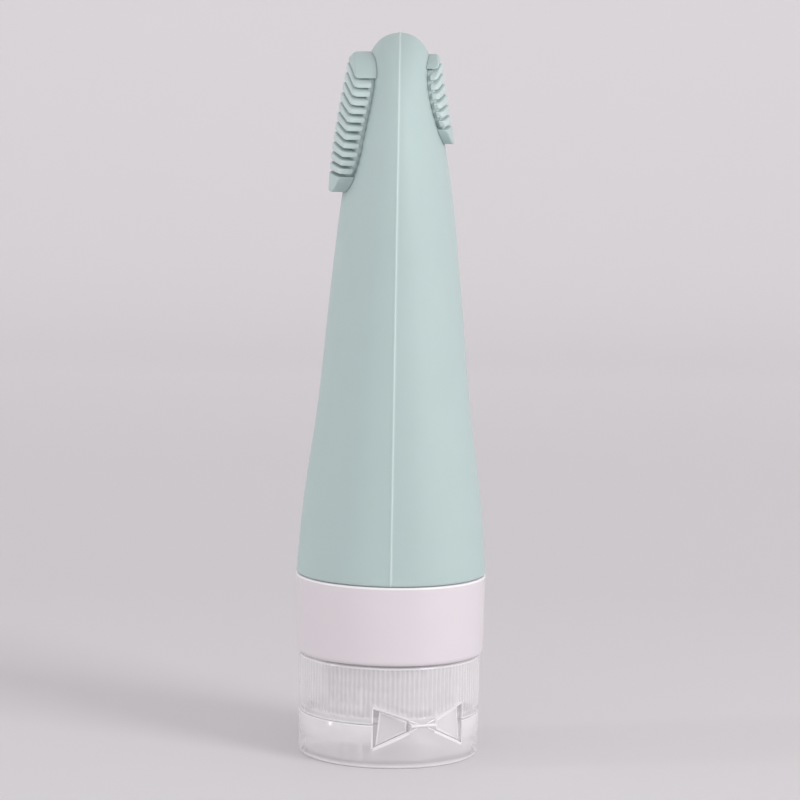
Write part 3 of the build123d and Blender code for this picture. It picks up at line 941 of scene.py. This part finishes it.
def cap_base_outline(column, rib_depth):
    """The closed outline of the cap base on one slice, from its top rim outward and round, each point with its painted
    edge highlight.
    """
    at, behind, inner, painted_rim_highlight = column.at, column.behind, column.inner, column.rim
    radius, top, bottom = CAP_RADIUS, BASE_TOP, BASE_BOTTOM
    crest = 0.5 + 0.5 * math.cos(RIBS * column.angle)
    # The grip ribs' crests carry a painted highlight
    rib, painted_crest_highlight = radius - rib_depth * (1 - crest), 0.13 * crest
    notch = not column.front and abs(column.x) < NOTCH_HALF
    film = column.film(WING_RISE)
    ledge = bottom + LEDGE
    if notch:
        ledge = NOTCH_TOP
    elif column.pocket or column.rim:
        ledge = max(film, ledge)
    rows = [
        at(CAP_INNER, top), at(radius - 0.25, top, 0.5), at(radius - 0.08, top - 0.08, 0.8), at(radius, top - 0.3, 0.4),
        at(rib, top - 0.5, painted_crest_highlight), at(rib, top - 0.7, painted_crest_highlight), at(rib, ledge + 0.95, painted_crest_highlight),
        at(rib, ledge + 0.75, painted_crest_highlight), at(radius, ledge + 0.5, 0.1),
    ]
    if column.pocket:
        lift = ledge + 0.12 * (radius - math.hypot(column.x, behind_chord(column.x, 0)))
        rows += [
            at(radius, lift + 0.22, 0.9), at(radius - 0.05, lift + 0.05, 1.0), at(radius - 0.2, lift, 1.0),
            behind(0.0, film, 1.0), behind(0.12, film + 0.05, 0.5), behind(POCKET_DEPTH, film + 1.3),
            behind(POCKET_DEPTH, film - 0.1), behind(POCKET_DEPTH, bottom + 0.1), behind(POCKET_DEPTH + 0.1, bottom),
        ]
    else:
        wall = min(radius, NOTCH_FLAT / max(abs(math.cos(column.angle)), 0.1)) if notch else radius
        rows += [
            at(radius, ledge + 0.22), at(radius, ledge + 0.05, 0.6 if notch else painted_rim_highlight),
            at((radius + wall) / 2, ledge, painted_rim_highlight), at(wall, ledge - 0.05, painted_rim_highlight), at(wall, ledge - 0.2, painted_rim_highlight),
            at(wall, ledge - 0.35, painted_rim_highlight), at(wall, bottom + 0.38, max(0.5, painted_rim_highlight)),
            at(wall - 0.04, bottom + 0.12, 0.3 if notch else 0.8), at(wall - 0.2, bottom, 0.8),
        ]
    if column.front and abs(column.angle) < math.radians(45):
        rows += [inner(bottom)] * 6 + [inner(DECK_LOW)]
    else:
        rows += [
            at(UPSTAND_RADIUS, bottom), at(UPSTAND_RADIUS, UPSTAND_FOOT + 0.2),
            at(UPSTAND_RADIUS - 0.15, UPSTAND_FOOT, 0.5), at(UPSTAND_BORE + 0.15, UPSTAND_FOOT, 0.5),
            at(UPSTAND_BORE, UPSTAND_FOOT + 0.2), at(UPSTAND_BORE, bottom), at(UPSTAND_BORE, DECK_LOW),
        ]
    rows += [
        at(SPOUT_RADIUS + 1.3, DECK_LOW), at(SPOUT_RADIUS + 0.8, DECK_LOW - 0.3), at(SPOUT_RADIUS, SPOUT_FOOT + 0.3),
        at(SPOUT_RADIUS - 0.2, SPOUT_FOOT, 0.6), at(SPOUT_BORE + 0.2, SPOUT_FOOT, 0.6),
        at(SPOUT_BORE, SPOUT_FOOT + 0.2), at(SPOUT_BORE, DECK_HIGH - 0.3), at(SPOUT_BORE + 0.2, DECK_HIGH),
        *column.ring_wall(SOCKET_BORE, SOCKET_RADIUS, DECK_HIGH, SOCKET_TOP, 0.4),
        inner(DECK_HIGH), inner(SKIRT_STEP - 0.1), at(CAP_INNER, SKIRT_STEP + 0.1),
    ]
    return rows


def flip_lid_outline(column, foot):
    """The closed outline of the flip lid on one slice, from its rim outward, under and back up, each point with its
    painted edge highlight.
    """
    at, behind, inner, painted_rim_highlight = column.at, column.behind, column.inner, column.rim
    radius, top = CAP_RADIUS, LID_TOP
    film = column.film(-WING_FALL)
    ledge = min(film, top - LEDGE)
    if column.pocket:
        rows = [
            behind(POCKET_DEPTH + 0.1, top, 0.2), behind(POCKET_DEPTH, top - 0.1), behind(POCKET_DEPTH, film + 0.1),
            behind(POCKET_DEPTH, film - 1.85), behind(0.12, film - 0.08, 0.6), behind(0.0, film, 1.0),
            at(radius - 0.2, film, 1.0), at(radius - 0.05, film - 0.06, 1.0), at(radius, film - 0.25, 0.8),
        ]
    else:
        rows = [
            at(radius - 0.25, top, 0.6), at(radius - 0.07, top - 0.08, 1.0), at(radius, top - 0.3, 0.5),
            at(radius, ledge + 0.4, painted_rim_highlight), at(radius, ledge + 0.2, painted_rim_highlight), at(radius, ledge + 0.1, painted_rim_highlight),
            at(radius, ledge, painted_rim_highlight), at(radius, ledge - 0.06), at(radius, ledge - 0.25),
        ]
    rows += [at(radius, ledge - 0.6), at(radius, foot + 0.15)]
    # Painted highlight: the foot's round shows as a pale line where it turns under
    for turn, light in zip(QUARTER_TURN, (0.5, 0.95, 1.0, 0.7, 0.3, 0.1)):
        rows.append(at(radius - foot * (1 - math.cos(turn)), foot * (1 - math.sin(turn)), light))
    rows += [
        at(12.0, 0), at(0, 0), at(0, PLUG_TOP), at(1.4, PLUG_TOP), at(1.6, PLUG_TOP - 0.1),
        at(PLUG_RADIUS, PLUG_TOP - 1.2), at(PLUG_RADIUS, LID_FLOOR + 0.3), at(PLUG_RADIUS + 0.25, LID_FLOOR),
        *column.ring_wall(RING_BORE, RING_RADIUS, LID_FLOOR, RING_TOP, 0.3),
        inner(LID_FLOOR), inner(top - 0.1), inner(top),
    ]
    return rows


def circle(steps):
    """Cosine and sine round a circle."""
    return [(math.cos(2 * math.pi * k / steps), math.sin(2 * math.pi * k / steps)) for k in range(steps)]


def hinge_bead():
    """The rolled film on the hinge line and the web that ties it to the base, both with a painted edge highlight."""
    ends = [(HINGE_MIDDLE, 0.55), (HINGE_MIDDLE - 0.1, 0.9), (HINGE_MIDDLE - 0.3, 1.0)]
    rings = []
    for x, share in [(-x, share) for x, share in ends] + ends[::-1]:
        radius = 0.35 * share
        rings.append([(x, -HINGE_REACH + radius * c, SEAM + radius * s, 0.9) for c, s in circle(16)])
    web = [
        (x, y, z, 0.4)
        for x in (-HINGE_MIDDLE, HINGE_MIDDLE)
        for y in (-HINGE_REACH, -CAP_RADIUS + 0.4)
        for z in (BASE_BOTTOM, BASE_BOTTOM + 0.35)
    ]
    sides = [(0, 1, 3, 2), (4, 6, 7, 5), (0, 4, 5, 1), (2, 3, 7, 6), (0, 2, 6, 4), (1, 5, 7, 3)]
    points, faces = merge([closed_rod(rings), (web, sides)])
    return [turned(p) for p in points], faces


def film_roll(rise, start):
    """The rounded edge that the film hinge leaves along both film lines of one side, with a painted highlight along it.
    """
    bead_end, wing_start, last = HINGE_MIDDLE - 0.05, HINGE_MIDDLE + 0.25, POCKET_END - 0.1
    places = [start + (bead_end - start) * k / 6 for k in range(7)]
    places += [wing_start + (last - wing_start) * k / 10 for k in range(11)]
    parts = []
    for side in (-1, 1):
        out = Vector((side * WING_DEPTH, -WING_SPAN)).normalized()
        rings = []
        for x in places:
            radius = 0.17 * (0.6 if x in (start, last) else 1.0)
            y = behind_chord(x, 0.02)
            if x < HINGE_MIDDLE:
                y = min(y, 0.05 - math.sqrt(CAP_RADIUS**2 - x**2))
            height = SEAM + rise * x / WING_SPAN
            rings.append([
                turned((side * x + out.x * radius * c, y + out.y * radius * c, height + radius * s, 1.0))
                for c, s in circle(12)
            ])
        parts.append(closed_rod(rings))
    return merge(parts)


def wing_plate(side):
    """One stiff triangle of the hinge: a plate with rounded edges along its chord."""
    near, far_high, far_low = 3.764, 9.9, 10.6
    rise, fall = WING_RISE / WING_CHORD, -WING_FALL / WING_CHORD
    corners = [
        (near, rise * near - 0.25), (far_high, rise * far_high - 0.25),
        (far_low, fall * far_low + 0.4), (near, fall * near + 0.4),
    ]
    middle_s, middle_t = (sum(corner[k] for corner in corners) / 4 for k in (0, 1))
    rings = []
    # Inset from the outline, depth behind the chord and painted edge highlight, from the back face round to the front
    # one
    for inset, depth, light in (
        (0.55, 1.0, 0.0), (0.12, 1.0, 0.4), (0, 0.88, 0.6), (0, 0.12, 0.8), (0.12, 0, 0.7), (0.32, 0, 0.25),
        (0.5, 0, 0.0),
    ):
        ring = []
        for corner_s, corner_t in corners:
            s = corner_s + math.copysign(inset, middle_s - corner_s)
            t = corner_t + math.copysign(inset * 1.05, middle_t - corner_t)
            x = side * (WING_SPAN * s - WING_DEPTH * depth) / WING_CHORD
            y = -HINGE_REACH + (WING_DEPTH * s + WING_SPAN * depth) / WING_CHORD
            ring.append(turned((x, y, SEAM + t, light)))
        rings.append(ring)
    return closed_rod(rings)


class BOTTLE_OT_cap(bpy.types.Operator):
    """Builds the clear cap: ribbed base with spout, flip lid, and the hinge's bead and two wings."""
    bl_idname = "bottle.cap"
    bl_label = "Clear cap"

    def execute(self, context):
        cap = context.scene.bottle_cap
        columns = cap_columns(RIBS * 8)
        clear = finish_of("clear")

        rings = [[turned(p) for p in cap_base_outline(column, cap.rib_depth / MM)] for column in columns]
        thread = helix_ridge(
            SOCKET_BORE, reach=-0.62, base_width=1.5, crest_width=0.8, pitch=cap.thread_pitch / MM,
            start_z=16.2, start_angle=2.2, turns=1.5,
        )
        points, faces = merge([
            loft_faces(rings, closed_along=True), hinge_bead(), film_roll(WING_RISE, 0.4), thread,
        ])
        base = make_object("clear_cap_base", points, faces, clear, crease=35)
        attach(base, "cap")
        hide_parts("cap_base")

        rings = [[turned(p) for p in flip_lid_outline(column, cap.foot_round / MM)] for column in columns]
        points, faces = merge([loft_faces(rings, closed_along=True), film_roll(-WING_FALL, 1.2)])
        lid = make_object("clear_flip_lid", points, faces, clear, crease=35)
        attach(lid, "lid")
        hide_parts("flip_lid")

        for side, hand in ((-1, "left"), (1, "right")):
            points, faces = wing_plate(side)
            wing = make_object(f"clear_hinge_wing_{hand}", points, faces, clear, crease=50)
            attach(wing, f"wing_{hand}")
            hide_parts(f"hinge_wing_{hand}")
        return {"FINISHED"}


# ---- stage --------------------------------------------------------------------------------------

# The camera's place in mm, its angles in radians, and its focal length in pixels of the photograph
CAMERA_SIDE, CAMERA_BACK, CAMERA_HEIGHT = 1.395, 750.0, 164.94
CAMERA_PITCH, CAMERA_ROLL = 0.11209, 0.01721
CAMERA_FOCAL_PIXELS = 3341.2
IMAGE_WIDTH = 800
SENSOR_WIDTH = 36.0

# The board's sweep in mm, and the painted light and shade on it from the front edge to the back as (place, share of its
# colour)
SWEEP_START, SWEEP_RADIUS, BOARD_FRONT, BOARD_TOP = 900, 600, -1600, 2200
BOARD_PAINTED_LIGHT = [(0.0, 1.04), (0.18, 1.04), (0.31, 1.0), (0.45, 1.06), (0.6, 1.16), (0.75, 1.14), (1.0, 1.03)]

# Name, direction from the bottle, distance and size in metres, and watts of each soft lamp
LAMPS = (
    ("window_right", (0.68, -0.55, 0.34), 1.3, (0.45, 0.45), 7.2),
    ("strip_left", (-0.97, -0.2, 0.06), 1.1, (0.05, 0.8), 3.1),
)
LAMP_AIM = (0, 0, 0.07)
ROOM_SIDES, ROOM_OVERHEAD = 1.24, 0.41


def add_lamp(name, toward, distance, size, watts):
    """A soft lamp, wide by high, at a distance along a direction from the bottle's middle, facing it."""
    data = bpy.data.lights.new(name, "AREA")
    data.shape = "RECTANGLE"
    data.size, data.size_y = size
    data.energy = watts
    item = bpy.data.objects.new(name, data)
    direction = Vector(toward).normalized()
    item.location = Vector(LAMP_AIM) + direction * distance
    item.rotation_euler = direction.to_track_quat("Z", "Y").to_euler()
    bpy.context.scene.collection.objects.link(item)


def add_floor(colour):
    """The pale board: level under the bottle, and swept up behind it."""
    profile = [(BOARD_FRONT, 0), (-400, 0), (0, 0), (500, 0), (SWEEP_START, 0)]
    for k in range(1, 25):
        turn = math.pi / 2 * k / 24
        profile.append((SWEEP_START + SWEEP_RADIUS * math.sin(turn), SWEEP_RADIUS * (1 - math.cos(turn))))
    profile.append((SWEEP_START + SWEEP_RADIUS, BOARD_TOP))
    rows = [[(x, y, z) for x in (-2500, -1200, -400, 400, 1200, 2500)] for y, z in profile]
    points, faces = loft_faces(rows, closed_across=False)
    floor = make_object("floor_sweep", points, faces, painted_board(colour), crease=80)
    if floor.data.polygons[0].normal.z < 0:
        floor.data.flip_normals()


def add_room():
    """A soft room: brighter round the sides than overhead."""
    world = bpy.data.worlds.new("soft_room")
    world.use_nodes = True
    tree = world.node_tree
    tree.nodes.clear()
    sky = add_node(tree, "ShaderNodeTexCoord")
    axes = add_node(tree, "ShaderNodeSeparateXYZ", {}, [(sky, "Generated", "Vector")])
    level = add_node(
        tree, "ShaderNodeMapRange",
        {"From Min": 0.0, "From Max": 1.0, "To Min": ROOM_SIDES, "To Max": ROOM_OVERHEAD}, [(axes, "Z", "Value")],
    )
    room = add_node(tree, "ShaderNodeBackground", {"Color": linear("#FBF9FB")}, [(level, "Result", "Strength")])
    # Past the board's edge the camera sees the board's own pale tone
    beyond = add_node(tree, "ShaderNodeBackground", {"Color": linear("#D5D0D4"), "Strength": 1.0})
    seen = add_node(tree, "ShaderNodeLightPath")
    either = add_node(
        tree, "ShaderNodeMixShader", {},
        [(seen, "Is Camera Ray", "Fac"), (room, "Background", 1), (beyond, "Background", 2)],
    )
    add_node(tree, "ShaderNodeOutputWorld", {}, [(either, "Shader", "Surface")])
    bpy.context.scene.world = world


def add_camera():
    """The camera, pitched down and rolled a little, as in the photograph."""
    data = bpy.data.cameras.new("camera")
    data.sensor_fit = "HORIZONTAL"
    data.sensor_width = SENSOR_WIDTH
    data.lens = CAMERA_FOCAL_PIXELS * SENSOR_WIDTH / IMAGE_WIDTH
    data.clip_start, data.clip_end = 0.01, 20
    camera = bpy.data.objects.new("camera", data)
    sp, cp = math.sin(CAMERA_PITCH), math.cos(CAMERA_PITCH)
    sr, cr = math.sin(CAMERA_ROLL), math.cos(CAMERA_ROLL)
    right, up, back = Vector((1, 0, 0)), Vector((0, sp, cp)), Vector((0, -cp, sp))
    tilted_right, tilted_up = right * cr + up * sr, up * cr - right * sr
    turn = Matrix((tilted_right, tilted_up, back)).transposed()
    where = Vector((CAMERA_SIDE, -CAMERA_BACK, CAMERA_HEIGHT)) * MM
    camera.matrix_world = Matrix.Translation(where) @ turn.to_4x4()
    bpy.context.scene.collection.objects.link(camera)
    bpy.context.scene.camera = camera


class BOTTLE_OT_stage(bpy.types.Operator):
    """Builds the pale floor with its sweep, the soft light and the camera."""
    bl_idname = "bottle.stage"
    bl_label = "Stage, light and camera"

    def execute(self, context):
        add_floor(context.scene.bottle_finish.floor)
        add_room()
        for lamp in LAMPS:
            add_lamp(*lamp)
        add_camera()
        context.scene.view_settings.view_transform = "Standard"
        return {"FINISHED"}


class BOTTLE_PT_panel(bpy.types.Panel):
    """Lists the steps that build the bottle, and its sizes and colours."""
    bl_idname = "BOTTLE_PT_panel"
    bl_label = "Travel bottle"
    bl_space_type = "VIEW_3D"
    bl_region_type = "UI"
    bl_category = "Bottle"

    def draw(self, context):
        for group in GROUPS:
            values = getattr(context.scene, group)
            box = self.layout.box()
            for name in values.__annotations__:
                box.prop(values, name)
        for step in STEPS:
            self.layout.operator(step.bl_idname)


STEPS = (
    BOTTLE_OT_silicone_body, BOTTLE_OT_rubbing_pads, BOTTLE_OT_collar, BOTTLE_OT_neck, BOTTLE_OT_cap, BOTTLE_OT_stage,
)
GROUPS = {
    "bottle_sizes": BottleSizes, "bottle_pads": BottlePads, "bottle_cap": BottleCap, "bottle_finish": BottleFinish,
}


def register():
    for group in GROUPS.values():
        bpy.utils.register_class(group)
    for name, group in GROUPS.items():
        setattr(bpy.types.Scene, name, bpy.props.PointerProperty(type=group))
    for step in STEPS:
        bpy.utils.register_class(step)
    bpy.utils.register_class(BOTTLE_PT_panel)


def unregister():
    bpy.utils.unregister_class(BOTTLE_PT_panel)
    for step in reversed(STEPS):
        bpy.utils.unregister_class(step)
    for name in GROUPS:
        delattr(bpy.types.Scene, name)
    for group in reversed(list(GROUPS.values())):
        bpy.utils.unregister_class(group)


def main():
    """Builds everything in order."""
    register()
    for step in STEPS:
        group, name = step.bl_idname.split(".")
        getattr(getattr(bpy.ops, group), name)()


if __name__ == "__main__":
    main()
